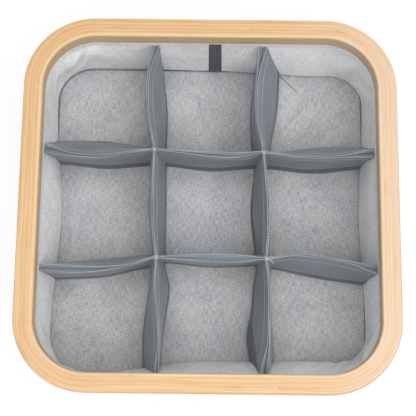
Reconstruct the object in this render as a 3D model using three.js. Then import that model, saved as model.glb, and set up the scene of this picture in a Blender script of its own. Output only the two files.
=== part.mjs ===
// A nine-compartment drawer organizer: a rim of bent bamboo plies, a soft fabric tub hung in it,
// a fabric-covered base insert, and nine strips of non-woven cloth that part the compartments.
// Millimetres, +Z up, origin at the middle of the underside, +X right, +Y back.
import * as THREE from "three";

// Rim
const SIDE = 320; // outer width and depth of the rim
const HEIGHT = 90; // underside of the tub to the top of the rim
const CORNER_RADIUS = 61; // outer corner of the rim
const PLY_COUNT = 5;
const PLY_THICKNESS = 3.04;
const GLUE_LINE = 0.3; // between two plies
const RIM_DEPTH = 25; // height of the plies behind the inner one
const INNER_PLY_DEPTH = 17.2; // the inner ply is shorter and leaves a rabbet for the tub
const EDGE_RADIUS = 1.6; // eased edges of the inner and the outer ply
const BUTT_GAP = 0.3; // where the two ends of one ply meet
const PLY_JOINTS = [
  // the side and the place along it where each ply closes, from the inner ply outwards and over again
  { side: "front", along: -62 },
  { side: "left", along: 41 },
  { side: "back", along: -35 },
  { side: "front", along: 58 },
  { side: "right", along: 10 },
];

// Tub walls: lining, stiffener and outer skin
const SKIN = 0.6; // thickness of one layer of tub cloth
const STIFFENER_THICKNESS = 1.1;
const STIFFENER_MARGIN = 7; // from the end of a stiffener to the round corner beside it
const LAYER_GAP = 0.3; // between one layer of the tub and the next
const BOTTOM_THICKNESS = 1.2;
const FLOOR_RADIUS = 34; // inner corner of the tub at its floor
const WALL_BOW = { right: 4, back: 3, left: 5, front: 10 }; // how far each wall bulges inwards
const TAPE_WIDTH = 11;
const TAPE_THICKNESS = 0.5;
const TAPE_OFFSET = 4; // the tape on the back wall lies right of its middle

// Base insert
const BOARD_THICKNESS = 2.5;
const BASE_CLEARANCE = 1.8; // between the insert and the tub wall
const BASE_CROWN = 1.5; // how far the middle of the cover stands above its edge
const BASE_EDGE_RADIUS = 1.2;
const BASE_HEM = 20; // width of cloth turned under the board

// Dividers
const CLOTH = 1; // thickness of the non-woven strips
const DIVIDER_DROP = 21; // the top edges lie this far below the top of the rim
const DIVIDER_PITCH = 95; // between the lines of crossings
const FOOT_CLEARANCE = 0.8; // between a strip's foot and the top of the base insert
const STRIP_GAP = 0.3; // between two strips where they are tacked together
const SEW_GAP = 0.6; // between the end of a strip and the lining

// Facets
const CORNER_STEPS = 6;
const WALL_STEPS = 6;
const WALL_ROWS = 3;
const RUN_STEPS = 8;
const CROWN_SHARES = [0, 0.4, 0.7, 0.9]; // rings of the base cover, from its middle to its edge
const SAME_POINT = 1e-4; // points closer than this are one

// Heights
const RIM_BOTTOM = HEIGHT - RIM_DEPTH;
const INNER_PLY_BOTTOM = HEIGHT - INNER_PLY_DEPTH;
const WALL_TOP = INNER_PLY_BOTTOM - LAYER_GAP;
const WALL_FOOT = BOTTOM_THICKNESS + LAYER_GAP;
const BOARD_BOTTOM = WALL_FOOT + SKIN + LAYER_GAP;
const BOARD_TOP = BOARD_BOTTOM + BOARD_THICKNESS;
const COVER_EDGE = BOARD_TOP + LAYER_GAP + SKIN;
const COVER_TOP = COVER_EDGE + BASE_CROWN;
const DIVIDER_TOP = HEIGHT - DIVIDER_DROP;
const DIVIDER_FOOT = COVER_TOP + FOOT_CLEARANCE;

// Distances out from the middle
const PLY_PITCH = PLY_THICKNESS + GLUE_LINE;
const RABBET_HALF = SIDE / 2 - (PLY_COUNT - 1) * PLY_PITCH + GLUE_LINE;
const RABBET_RADIUS = CORNER_RADIUS - SIDE / 2 + RABBET_HALF;
const STIFFENER_FACE = SKIN + LAYER_GAP;
const OUTER_FACE = STIFFENER_FACE + STIFFENER_THICKNESS + LAYER_GAP;
const WALL_DEPTH = OUTER_FACE + SKIN;
const LINING_HALF = RABBET_HALF - LAYER_GAP - WALL_DEPTH;
const LINING_RADIUS = RABBET_RADIUS - LAYER_GAP - WALL_DEPTH;
const STIFFENER_WIDTH = 2 * (LINING_HALF - LINING_RADIUS - STIFFENER_MARGIN);

// The four sides, counter-clockwise seen from above, with the way out of each.
const SIDES = ["right", "back", "left", "front"];
const OUTWARD = {
  right: new THREE.Vector2(1, 0),
  back: new THREE.Vector2(0, 1),
  left: new THREE.Vector2(-1, 0),
  front: new THREE.Vector2(0, -1),
};

// A plan point at a distance out from the middle towards a side, and a way along that side.
function onSide(side, distance, along) {
  const out = OUTWARD[side];
  return new THREE.Vector2(out.x * distance - out.y * along, out.y * distance + out.x * along);
}

// The round corner that follows a side, from the end of that side to the start of the next.
function cornerAfter(side, half, radius) {
  const centre = onSide(side, half - radius, half - radius);
  const start = Math.atan2(OUTWARD[side].y, OUTWARD[side].x);
  return Array.from({ length: CORNER_STEPS + 1 }, (_, i) => {
    const angle = start + (i / CORNER_STEPS) * (Math.PI / 2);
    return new THREE.Vector2(Math.cos(angle), Math.sin(angle)).multiplyScalar(radius).add(centre);
  });
}

// A closed solid through a row of rings with equally many points. The row closes on itself,
// or each end is capped across. A ring may shrink to one point. A quad is split along its
// shorter diagonal, so that two layers with the same bulge keep parallel facets.
function loft(rings, closed) {
  const size = rings[0].length;
  const points = rings.flat();
  const corner = (ring, i) => (ring % rings.length) * size + (i % size);
  const quads = [];
  const spans = closed ? rings.length : rings.length - 1;
  for (let ring = 0; ring < spans; ring++) {
    for (let i = 0; i < size; i++) {
      quads.push([corner(ring, i), corner(ring, i + 1), corner(ring + 1, i + 1), corner(ring + 1, i)]);
    }
  }
  if (!closed) {
    const last = rings.length - 1;
    for (let i = 0; i < size / 2 - 1; i++) {
      const across = size - 1 - i;
      quads.push([corner(0, i), corner(0, across), corner(0, across - 1), corner(0, i + 1)]);
      quads.push([corner(last, i), corner(last, i + 1), corner(last, across - 1), corner(last, across)]);
    }
  }
  const apart = (a, b) => points[a].distanceTo(points[b]);
  const split = ([a, b, c, d]) =>
    apart(a, c) <= apart(b, d) ? [[a, b, c], [a, c, d]] : [[a, b, d], [b, c, d]];
  const triangles = quads
    .flatMap(split)
    .filter(([a, b, c]) => Math.min(apart(a, b), apart(b, c), apart(c, a)) > SAME_POINT);
  const volume = triangles.reduce(
    (sum, [a, b, c]) => sum + points[a].dot(new THREE.Vector3().crossVectors(points[b], points[c])),
    0,
  );
  const facing = volume < 0 ? triangles.map(([a, b, c]) => [a, c, b]) : triangles;
  const geometry = new THREE.BufferGeometry().setFromPoints(points);
  geometry.setIndex(facing.flat());
  geometry.computeVertexNormals();
  return geometry;
}

const organizer = new THREE.Group();

function addPiece(name, geometry, material) {
  const mesh = new THREE.Mesh(geometry, material.clone());
  mesh.name = name;
  organizer.add(mesh);
}

// Materials
const bamboo = new THREE.MeshStandardMaterial({ color: 0xecc396, roughness: 0.45, metalness: 0 });
const paleBamboo = new THREE.MeshStandardMaterial({ color: 0xf5dcb8, roughness: 0.45, metalness: 0 });
const heatherCloth = new THREE.MeshStandardMaterial({ color: 0xb4b4b6, roughness: 0.95, metalness: 0 });
const slateCloth = new THREE.MeshStandardMaterial({ color: 0x737b83, roughness: 0.95, metalness: 0 });
const charcoalTape = new THREE.MeshStandardMaterial({ color: 0x46464c, roughness: 0.9, metalness: 0 });
const greyboard = new THREE.MeshStandardMaterial({ color: 0x9a938a, roughness: 0.9, metalness: 0 });

// Section of a ply, as distance in from its outer face and height. The face that hands touch,
// outer or inner, has two eased edges.
function plySection(bottom, easedFace) {
  const arc = [0, 1, 2].map((i) => {
    const angle = (i / 2) * (Math.PI / 2);
    return [EDGE_RADIUS * (1 - Math.cos(angle)), EDGE_RADIUS * (1 - Math.sin(angle))];
  });
  const square = { inset: PLY_THICKNESS, drop: 0 };
  const top = [...arc.map(([inset, drop]) => ({ inset, drop })), square];
  if (easedFace === "none") top.splice(0, arc.length, { inset: 0, drop: 0 });
  if (easedFace === "inner") top.forEach((point) => (point.inset = PLY_THICKNESS - point.inset));
  const lower = top.map(({ inset, drop }) => ({ inset, z: bottom + drop })).reverse();
  return [...top.map(({ inset, drop }) => ({ inset, z: HEIGHT - drop })), ...lower];
}

// Each ply is one strip bent round the rounded square, with its two ends butted on one side.
function bentPly(half, radius, section, joint) {
  const first = SIDES.indexOf(joint.side);
  const order = SIDES.map((_, i) => SIDES[(first + i) % SIDES.length]);
  const lines = section.map(({ inset, z }) => {
    const start = onSide(joint.side, half - inset, joint.along + BUTT_GAP / 2);
    const end = onSide(joint.side, half - inset, joint.along - BUTT_GAP / 2);
    const corners = order.flatMap((side) => cornerAfter(side, half - inset, radius - inset));
    return [start, ...corners, end].map((point) => new THREE.Vector3(point.x, point.y, z));
  });
  return loft(lines[0].map((_, i) => lines.map((line) => line[i])), false);
}

for (let i = 0; i < PLY_COUNT; i++) {
  const joint = PLY_JOINTS[i % PLY_JOINTS.length];
  const inner = i === 0;
  const outer = i === PLY_COUNT - 1;
  const setback = (PLY_COUNT - 1 - i) * PLY_PITCH;
  const eased = inner ? "inner" : outer ? "outer" : "none";
  const section = plySection(inner ? INNER_PLY_BOTTOM : RIM_BOTTOM, eased);
  const place = inner ? "_inner" : outer ? "_outer" : "";
  const geometry = bentPly(SIDE / 2 - setback, CORNER_RADIUS - setback, section, joint);
  addPiece(`rim_ply_${i + 1}${place}`, geometry, inner ? paleBamboo : bamboo);
}

// Places along each wall that all its layers share, so that their facets stay parallel.
const WALL_PLACES = Array.from(
  { length: WALL_STEPS + 1 },
  (_, i) => STIFFENER_WIDTH * (i / WALL_STEPS - 0.5),
);
const WALL_LEVELS = Array.from(
  { length: WALL_ROWS + 1 },
  (_, i) => RIM_BOTTOM + (COVER_TOP - RIM_BOTTOM) * (i / WALL_ROWS),
);

// How far a wall bulges in at a place along it, read off its facets, and at a height.
// The bulge is held flat at the rim, at the base insert and past the ends of the stiffener.
function wallBow(side, along, z) {
  const rise = (place) => Math.cos((Math.PI * place) / STIFFENER_WIDTH) ** 2;
  const step = (along / STIFFENER_WIDTH + 0.5) * WALL_STEPS;
  const sink = (RIM_BOTTOM - z) / (RIM_BOTTOM - COVER_TOP);
  if (step <= 0 || step >= WALL_STEPS || sink <= 0 || sink >= 1) return 0;
  const before = Math.floor(step);
  const after = Math.min(before + 1, WALL_STEPS);
  const facet = THREE.MathUtils.lerp(rise(WALL_PLACES[before]), rise(WALL_PLACES[after]), step - before);
  return WALL_BOW[side] * facet * Math.sin(Math.PI * sink);
}

// A point on a wall, at an offset out from the face of the lining.
function onWall(side, along, z, offset) {
  const point = onSide(side, LINING_HALF + offset - wallBow(side, along, z), along);
  return new THREE.Vector3(point.x, point.y, z);
}

// The whole way round the walls at a height. The corners tighten from the rim to the floor.
function roundWalls(z, offset) {
  const sink = THREE.MathUtils.clamp((RIM_BOTTOM - z) / (RIM_BOTTOM - COVER_TOP), 0, 1);
  const radius = THREE.MathUtils.lerp(LINING_RADIUS, FLOOR_RADIUS, sink) + offset;
  return SIDES.flatMap((side) => [
    ...WALL_PLACES.map((along) => onWall(side, along, z, offset)),
    ...cornerAfter(side, LINING_HALF + offset, radius).map((p) => new THREE.Vector3(p.x, p.y, z)),
  ]);
}

// Sections of a wall layer: down its inner face and up its outer one.
function layerSections(inner, outer) {
  const lines = [...inner, ...outer.reverse()];
  return lines[0].map((_, i) => lines.map((line) => line[i]));
}

function wrappedLayer(foot, offset, thickness) {
  const levels = [WALL_TOP, ...WALL_LEVELS, foot];
  const inner = levels.map((z) => roundWalls(z, offset));
  const outer = levels.map((z) => roundWalls(z, offset + thickness));
  return loft(layerSections(inner, outer), true);
}

function wallPanel(side, places, offset, thickness) {
  const levels = [WALL_TOP, ...WALL_LEVELS, WALL_FOOT];
  const inner = levels.map((z) => places.map((along) => onWall(side, along, z, offset)));
  const outer = levels.map((z) => places.map((along) => onWall(side, along, z, offset + thickness)));
  return loft(layerSections(inner, outer), false);
}

addPiece("tub_lining", wrappedLayer(WALL_FOOT, 0, SKIN), heatherCloth);
addPiece("tub_outer_skin", wrappedLayer(0, OUTER_FACE, SKIN), heatherCloth);
for (const side of SIDES) {
  const panel = wallPanel(side, WALL_PLACES, STIFFENER_FACE, STIFFENER_THICKNESS);
  addPiece(`wall_stiffener_${side}`, panel, greyboard);
}
const tapeEdges = [TAPE_WIDTH / 2, -TAPE_WIDTH / 2].map((edge) => -TAPE_OFFSET - edge);
const tape = wallPanel("back", tapeEdges, -LAYER_GAP - TAPE_THICKNESS, TAPE_THICKNESS);
addPiece("seam_tape", tape, charcoalTape);

// A flat rounded-square ring, and one shrunk towards the middle by a share.
function flatRing(half, radius, z, share = 1) {
  return SIDES.flatMap((side) => cornerAfter(side, half, radius)).map(
    (point) => new THREE.Vector3(point.x * share, point.y * share, z),
  );
}

function flatPanel(half, radius, bottom, top, ease) {
  return loft(
    [
      flatRing(half, radius, bottom, 0),
      flatRing(half, radius, bottom),
      flatRing(half, radius, top - ease),
      flatRing(half - ease, radius - ease, top),
      flatRing(half, radius, top, 0),
    ],
    false,
  );
}

const bottomHalf = LINING_HALF + OUTER_FACE - LAYER_GAP;
const bottomRadius = FLOOR_RADIUS + OUTER_FACE - LAYER_GAP;
addPiece("tub_bottom", flatPanel(bottomHalf, bottomRadius, 0, BOTTOM_THICKNESS, 0), heatherCloth);

// Base insert: a board in a cloth cover that is pulled over its edge and turned under.
const coverHalf = LINING_HALF - BASE_CLEARANCE;
const coverRadius = FLOOR_RADIUS - BASE_CLEARANCE;
const wrap = SKIN + LAYER_GAP;
const board = flatPanel(coverHalf - wrap, coverRadius - wrap, BOARD_BOTTOM, BOARD_TOP, BASE_EDGE_RADIUS);
addPiece("base_board", board, greyboard);

function baseCover() {
  const crownHeight = (share) => BASE_CROWN * (1 - share * share);
  const cover = (inset, z) => flatRing(coverHalf - inset, coverRadius - inset, z);
  const crown = (edge) => CROWN_SHARES.map((s) => flatRing(coverHalf, coverRadius, edge + crownHeight(s), s));
  const underside = COVER_EDGE - SKIN;
  const hemTop = WALL_FOOT + SKIN;
  return loft(
    [
      ...crown(COVER_EDGE),
      cover(BASE_EDGE_RADIUS, COVER_EDGE),
      cover(0, COVER_EDGE - BASE_EDGE_RADIUS),
      cover(0, WALL_FOOT),
      cover(BASE_HEM, WALL_FOOT),
      cover(BASE_HEM, hemTop),
      cover(SKIN, hemTop),
      cover(SKIN, underside - BASE_EDGE_RADIUS),
      cover(BASE_EDGE_RADIUS + SKIN, underside),
      ...crown(underside).reverse(),
    ],
    false,
  );
}
addPiece("base_cover", baseCover(), heatherCloth);

// Where the strips cross, a little off the even grid, and where they end on the walls.
const HALF_PITCH = DIVIDER_PITCH / 2;
const CROSSING = {
  backLeft: { x: -HALF_PITCH - 0.5, y: HALF_PITCH + 1 },
  backRight: { x: HALF_PITCH - 0.5, y: HALF_PITCH - 0.5 },
  frontLeft: { x: -HALF_PITCH + 3, y: -HALF_PITCH + 1.5 },
  frontRight: { x: HALF_PITCH + 2, y: -HALF_PITCH + 1.5 },
};
const END = {
  backLeft: { wall: "back", x: -HALF_PITCH - 1.5 },
  backRight: { wall: "back", x: HALF_PITCH - 1.5 },
  frontLeft: { wall: "front", x: -HALF_PITCH + 5.5 },
  frontRight: { wall: "front", x: HALF_PITCH + 1 },
  leftBack: { wall: "left", y: HALF_PITCH + 2 },
  leftFront: { wall: "left", y: -HALF_PITCH - 8 },
  rightBack: { wall: "right", y: HALF_PITCH + 1 },
  rightFront: { wall: "right", y: -HALF_PITCH - 5.5 },
};

// The runs of each strip: from where to where, the side of it that its compartment lies on,
// how far its top edge bows that way at mid-run, and how far its foot stands that way
// at the start, the middle and the end. Foot and top belong to the same soft sheet.
const STRIPS = {
  back_left: [
    { from: END.backLeft, to: CROSSING.backLeft, into: "left", top: 6.9, foot: [9.5, 11, 5] },
    { from: CROSSING.backLeft, to: END.leftBack, into: "back", top: -6.8, foot: [14, 19, 18.5] },
  ],
  back_middle: [
    { from: END.backLeft, to: CROSSING.backLeft, into: "right", top: -6.5, foot: [4, 8, 7.5] },
    { from: CROSSING.backLeft, to: CROSSING.backRight, into: "back", top: -1.5, foot: [9.5, 11.5, 9.5] },
    { from: CROSSING.backRight, to: END.backRight, into: "left", top: 6.1, foot: [7, 8, 4] },
  ],
  back_right: [
    { from: END.backRight, to: CROSSING.backRight, into: "right", top: -5.7, foot: [18, 15, 8] },
    { from: CROSSING.backRight, to: END.rightBack, into: "back", top: -4.6, foot: [12, 16.5, 17] },
  ],
  middle_left: [
    { from: END.leftBack, to: CROSSING.backLeft, into: "front", top: 7.8, foot: [0, 3.5, 0] },
    { from: CROSSING.backLeft, to: CROSSING.frontLeft, into: "left", top: 2.2, foot: [5.5, 8, 5] },
    { from: CROSSING.frontLeft, to: END.leftFront, into: "back", top: -4.1, foot: [9.2, 9.7, 10] },
  ],
  centre: [
    { from: CROSSING.backRight, to: CROSSING.backLeft, into: "front", top: 4.8, foot: [0, 3.5, 0] },
    { from: CROSSING.backLeft, to: CROSSING.frontLeft, into: "right", top: -1.8, foot: [7.5, 6.5, 5] },
    { from: CROSSING.frontLeft, to: CROSSING.frontRight, into: "back", top: 2.8, foot: [9, 10.5, 9.8] },
    { from: CROSSING.frontRight, to: CROSSING.backRight, into: "left", top: -2.7, foot: [6.5, 9, 4.5] },
  ],
  middle_right: [
    { from: END.rightFront, to: CROSSING.frontRight, into: "back", top: 5, foot: [6, 10, 6] },
    { from: CROSSING.frontRight, to: CROSSING.backRight, into: "right", top: 3.1, foot: [5, 7, 5] },
    { from: CROSSING.backRight, to: END.rightBack, into: "front", top: 5.1, foot: [0, 4.5, 1] },
  ],
  front_left: [
    { from: END.leftFront, to: CROSSING.frontLeft, into: "front", top: 7.3, foot: [3, 5, 0] },
    { from: CROSSING.frontLeft, to: END.frontLeft, into: "left", top: -0.8, foot: [6.5, 10, 14] },
  ],
  front_middle: [
    { from: END.frontLeft, to: CROSSING.frontLeft, into: "right", top: 1.1, foot: [0, 6, 4] },
    { from: CROSSING.frontLeft, to: CROSSING.frontRight, into: "front", top: 3, foot: [-4, -0.5, -2] },
    { from: CROSSING.frontRight, to: END.frontRight, into: "left", top: -2.6, foot: [5, 9.5, 10] },
  ],
  front_right: [
    { from: END.frontRight, to: CROSSING.frontRight, into: "right", top: 2.9, foot: [10, 7.5, 6] },
    { from: CROSSING.frontRight, to: END.rightFront, into: "front", top: -4.5, foot: [0, 5, 7] },
  ],
};

// How far a run of cloth stands off its line at a share of its length and of its height.
function standOff(run, share, sink) {
  const top = run.top * Math.sin(Math.PI * share);
  const [start, middle, end] = run.foot;
  const bend = 4 * share * (1 - share);
  const foot = THREE.MathUtils.lerp(start, end, share) + bend * (middle - (start + end) / 2);
  return THREE.MathUtils.lerp(top, foot, sink);
}

// A point of a run, on its near face or past the thickness of the cloth on its far face.
// The ends of the run meet the next run's cloth at a crossing, or the wall.
function onRun(strip, index, share, z, face) {
  const run = strip[index];
  const sink = (DIVIDER_TOP - z) / (DIVIDER_TOP - DIVIDER_FOOT);
  const off = (other, at) => standOff(other, at, sink) + STRIP_GAP / 2 + face;
  const out = OUTWARD[run.into];
  const count = strip.length;
  const anchor = (place, neighbour, at) => {
    const base = new THREE.Vector2(place.x ?? 0, place.y ?? 0);
    if (!place.wall) return base.addScaledVector(OUTWARD[neighbour.into], off(neighbour, at));
    const stand = off(run, 1 - at);
    const wallOut = OUTWARD[place.wall];
    const line = base.clone().addScaledVector(out, stand);
    const along = wallOut.x * line.y - wallOut.y * line.x;
    const reach = LINING_HALF - SEW_GAP - wallBow(place.wall, along, z);
    return base.addScaledVector(wallOut, reach);
  };
  const start = anchor(run.from, strip[(index + count - 1) % count], 1);
  const end = anchor(run.to, strip[(index + 1) % count], 0);
  const point = start.lerp(end, share).addScaledVector(out, off(run, share));
  return new THREE.Vector3(point.x, point.y, z);
}

function dividerStrip(strip) {
  const looped = !strip[0].from.wall;
  const levels = [DIVIDER_TOP, ...WALL_LEVELS.slice(1, -1), DIVIDER_FOOT];
  const sections = strip.flatMap((_, index) => {
    const first = looped || index > 0 ? 1 : 0;
    return Array.from({ length: RUN_STEPS + 1 - first }, (_, i) => {
      const share = (i + first) / RUN_STEPS;
      const near = levels.map((z) => onRun(strip, index, share, z, 0));
      const far = levels.map((z) => onRun(strip, index, share, z, CLOTH));
      return [...near, ...far.reverse()];
    });
  });
  return loft(sections, looped);
}

for (const [name, strip] of Object.entries(STRIPS)) {
  addPiece(`divider_${name}`, dividerStrip(strip), slateCloth);
}

export default organizer;
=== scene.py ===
import math

import bmesh
import bpy
from mathutils import Matrix, Vector, noise


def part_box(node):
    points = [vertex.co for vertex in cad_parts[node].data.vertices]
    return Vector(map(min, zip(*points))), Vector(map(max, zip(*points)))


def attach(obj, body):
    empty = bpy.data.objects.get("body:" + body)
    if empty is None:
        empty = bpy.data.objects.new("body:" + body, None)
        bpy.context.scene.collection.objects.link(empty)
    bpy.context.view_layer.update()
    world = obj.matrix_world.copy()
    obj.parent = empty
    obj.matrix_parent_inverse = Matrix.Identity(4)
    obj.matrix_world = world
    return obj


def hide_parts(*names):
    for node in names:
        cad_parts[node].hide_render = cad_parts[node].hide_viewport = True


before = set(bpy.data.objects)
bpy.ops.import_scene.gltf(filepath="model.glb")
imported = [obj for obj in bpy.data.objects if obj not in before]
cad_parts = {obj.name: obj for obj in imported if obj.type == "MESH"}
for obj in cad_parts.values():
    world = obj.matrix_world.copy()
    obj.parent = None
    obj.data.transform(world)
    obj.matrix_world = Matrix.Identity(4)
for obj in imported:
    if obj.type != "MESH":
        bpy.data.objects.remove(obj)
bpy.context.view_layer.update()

# Bamboo rim
# Five bamboo plies are steamed, bent round a former and glued one inside the other, and each closes in a
# butt joint. The inner ply is paler and shorter, so that the tub's edge tucks under it. The faces that
# hands touch have eased edges, and the rim is sanded flat on top and lacquered.
MM = 0.001
RIM_CORNER = 61 * MM
EASED_EDGE = 1.6 * MM
SANDED_EDGE = 0.03 * MM
INNER_PLY_THICKNESS = 3.04 * MM
GLUE_LINE = 0.01 * MM
BUTT_GAP = 0.15 * MM
PLY_FACET = 3 * MM
GRAIN_SHIFT = 0.41  # each ply is cut from another cane
SIDES = ("right", "back", "left", "front")
PLY_JOINTS = {
    "rim_ply_1_inner": ("front", -62 * MM),
    "rim_ply_2": ("left", 41 * MM),
    "rim_ply_3": ("back", -35 * MM),
    "rim_ply_4": ("front", 58 * MM),
    "rim_ply_5_outer": ("right", 10 * MM),
}
HANDLED_FACE = {"rim_ply_1_inner": "inner", "rim_ply_5_outer": "outer"}
SHARP_ANGLE = 40  # degrees
BAMBOO = {
    "pale": (0.63, 0.43, 0.24, 1),
    "ripe": (0.53, 0.31, 0.14, 1),
    "fibre": (0.4, 0.19, 0.06, 1),
}
# The inner ply is drawn a little paler. The paler colour also paints the highlight along its eased inner
# edge, so it is partly a painted highlight.
PALE_HIGHLIT_BAMBOO = {
    "pale": (0.65, 0.47, 0.28, 1),
    "ripe": (0.57, 0.37, 0.19, 1),
    "fibre": (0.45, 0.245, 0.09, 1),
}
PAINTED_SHEEN_COLOUR = (0.6, 0.46, 0.34, 1)  # painted sheen: the right side is drawn paler where the lamp's light falls on it
PAINTED_SHEEN_FROM = 60 * MM  # along X
PAINTED_SHEEN_TO = 160 * MM
CANE_NODE = 0.47  # distance between the growth rings of a cane
RING_WANDER = 4 * MM
# How long and how wide the marks in the grain are
GRAIN_BANDS = (500 * MM, 1.6 * MM)
GRAIN_FIBRES = (70 * MM, 0.6 * MM)
GRAIN_FLECKS = (22 * MM, 0.5 * MM)
GRAIN_WANDER = (3 * MM, 4 * MM)
GRAIN_DEPTH = 0.04 * MM


class Wire:
    """A value in a material. Sums and products add Math nodes, and node() adds any other node."""

    def __init__(self, tree, socket=None):
        self.tree = tree
        self.socket = socket

    def node(self, kind, sockets, output=0, **settings):
        made = self.tree.nodes.new(kind)
        for name, value in settings.items():
            setattr(made, name, value)
        for name, value in sockets.items():
            if isinstance(value, Wire):
                self.tree.links.new(value.socket, made.inputs[name])
            else:
                made.inputs[name].default_value = value
        return Wire(self.tree, made.outputs[output] if made.outputs else None)

    def math(self, operation, *values):
        return self.node("ShaderNodeMath", dict(enumerate(values)), operation=operation)

    def __add__(self, other):
        return self.math("ADD", self, other)

    def __sub__(self, other):
        return self.math("SUBTRACT", self, other)

    def __rsub__(self, other):
        return self.math("SUBTRACT", other, self)

    def __mul__(self, other):
        return self.math("MULTIPLY", self, other)

    def __truediv__(self, other):
        return self.math("DIVIDE", self, other)

    def __rtruediv__(self, other):
        return self.math("DIVIDE", other, self)

    __radd__ = __add__
    __rmul__ = __mul__


def new_finish(name):
    """An empty material and a wire to start its nodes from."""
    material = bpy.data.materials.new(name)
    material.use_nodes = True
    material.node_tree.nodes.clear()
    return material, Wire(material.node_tree)


def streaks(uv, along, across, detail=2.0):
    """Noise drawn out along a map, as long and as wide as the two sizes."""
    drawn = uv.node("ShaderNodeMapping", {"Vector": uv, "Scale": (1 / along, 1 / across, 1)})
    sockets = {"Vector": drawn, "Scale": 1.0, "Detail": detail, "Roughness": 0.6}
    return uv.node("ShaderNodeTexNoise", sockets, noise_dimensions="2D")


def ramp(value, low, high):
    """A value stretched to run from 0 at low to 1 at high."""
    sockets = {"Value": value, "From Min": low, "From Max": high}
    return value.node("ShaderNodeMapRange", sockets, interpolation_type="SMOOTHSTEP")


def blend_colour(share, first, second):
    return share.node("ShaderNodeMix", {0: share, 6: first, 7: second}, output=2, data_type="RGBA")


def bump(height, distance, strength=1.0):
    return height.node("ShaderNodeBump", {"Height": height, "Distance": distance, "Strength": strength})


def axis(vector, name):
    """One coordinate of a map or of a place."""
    return vector.node("ShaderNodeSeparateXYZ", {"Vector": vector}, output=name)


def close_finish(start, sockets):
    """Ends a material in one principled surface."""
    surface = start.node("ShaderNodeBsdfPrincipled", sockets)
    start.node("ShaderNodeOutputMaterial", {"Surface": surface})


def bamboo_finish(name, pale, ripe, fibre):
    material, start = new_finish(name)
    grain = start.node("ShaderNodeUVMap", {}, uv_map="grain")
    bands = streaks(grain, *GRAIN_BANDS)
    threads = streaks(grain, *GRAIN_FIBRES, 3.0)
    flecks = streaks(grain, *GRAIN_FLECKS)
    wander = streaks(grain, *GRAIN_WANDER)
    tone = ramp(bands * 0.5 + threads * 0.5, 0.36, 0.64)
    place = start.node("ShaderNodeTexCoord", {}, output="Object")
    # Painted sheen: towards the right, the rim is blended to a paler colour that stands in for the light
    # falling there.
    painted_sheen = ramp(axis(place, "X"), PAINTED_SHEEN_FROM, PAINTED_SHEEN_TO) * (0.9 - tone * 0.5)
    colour = blend_colour(painted_sheen, blend_colour(tone, pale, ripe), PAINTED_SHEEN_COLOUR)
    colour = blend_colour(ramp(flecks, 0.62, 0.78) * 0.35, colour, fibre)
    cane = (axis(grain, "X") + wander * RING_WANDER) / CANE_NODE
    ring = cane.math("PINGPONG", cane, 0.5)
    scar = (1 - ramp(ring, 0.004, 0.026)) * ramp(threads, 0.4, 0.62)
    colour = blend_colour(scar * 0.4, colour, fibre)
    sockets = {
        "Base Color": colour,
        "Roughness": 0.36 + threads * 0.16,
        "Normal": bump(threads - scar * 0.5, GRAIN_DEPTH),
        "Specular IOR Level": 0.3,
        "Coat Weight": 0.1,
        "Coat Roughness": 0.25,
    }
    close_finish(start, sockets)
    return material


def round_path(distance, half, radius, tight=None):
    """A point on a rounded square and the way out there, counter-clockwise from the middle of the
    right side. Where the corners are drawn tighter, the straight sides grow to suit."""
    straight = 2 * (half - radius)
    turns, along = divmod(distance + straight / 2, quarter_way(half, radius))
    tight = radius if tight is None else tight
    bend = max(0.0, along - straight) / radius
    place = Vector((half - tight, (min(along / straight, 1) * 2 - 1) * (half - tight)))
    out = Vector((math.cos(bend), math.sin(bend)))
    turn = Matrix.Rotation(turns * math.pi / 2, 2)
    return turn @ (place + out * tight), turn @ out


def quarter_way(half, radius):
    """The way round a quarter of a rounded square."""
    return 2 * (half - radius) + radius * math.pi / 2


def add_piece(name, bm, material, slot, *nodes):
    """Makes a finished mesh a piece that moves with the organizer and stands for its CAD nodes."""
    mesh = bpy.data.meshes.new(name)
    bm.edges.index_update()
    cut = [edge.index for edge in bm.edges if edge.is_boundary]
    bm.to_mesh(mesh)
    bm.free()
    mesh.shade_smooth()
    mesh.set_sharp_from_angle(angle=math.radians(SHARP_ANGLE))
    for index in cut:
        mesh.edges[index].use_edge_sharp = True
    mesh.materials.append(material)
    piece = bpy.data.objects.new(name, mesh)
    bpy.context.scene.collection.objects.link(piece)
    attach(piece, "root")
    if nodes:
        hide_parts(*nodes)
    return piece


def bent_ply(node, thickness, handled, shift):
    """A straight strip of bamboo, eased on the face that hands touch, bent round the rim from its joint."""
    low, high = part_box(node)
    radius = RIM_CORNER - (rim_half - high.x)
    quarter = quarter_way(high.x, radius)
    length = 4 * quarter - BUTT_GAP
    bm = bmesh.new()
    bmesh.ops.create_cube(bm, size=1)
    bmesh.ops.translate(bm, vec=(0.5, 0.5, 0.5), verts=bm.verts)
    bmesh.ops.scale(bm, vec=(length, thickness, high.z - low.z), verts=bm.verts)

    def lengthwise():
        return [edge for edge in bm.edges if abs(edge.verts[0].co.x - edge.verts[1].co.x) > length / 2]

    eased = []
    if handled:
        eased = [edge for edge in lengthwise() if (edge.verts[0].co.y > 0) == (handled == "inner")]
    plain = [edge for edge in lengthwise() if edge not in eased]
    finish = {"affect": "EDGES", "profile": 0.5, "material": -1}
    bmesh.ops.bevel(bm, geom=plain, offset=SANDED_EDGE, segments=1, **finish)
    if eased:
        bmesh.ops.bevel(bm, geom=eased, offset=EASED_EDGE, segments=6, **finish)
    bmesh.ops.subdivide_edges(bm, edges=lengthwise(), cuts=round(length / PLY_FACET), use_grid_fill=True)
    grain = bm.loops.layers.uv.new("grain")
    for face in bm.faces:
        for loop in face.loops:
            x, y, z = loop.vert.co
            loop[grain].uv = (x + shift, y + high.z - low.z - z)
    side, along = PLY_JOINTS[node]
    joint = SIDES.index(side) * quarter + along + BUTT_GAP / 2
    for vert in bm.verts:
        point, out = round_path(joint + vert.co.x, high.x, radius)
        vert.co = (*(point - out * vert.co.y), low.z + vert.co.z)
    return bm


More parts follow.
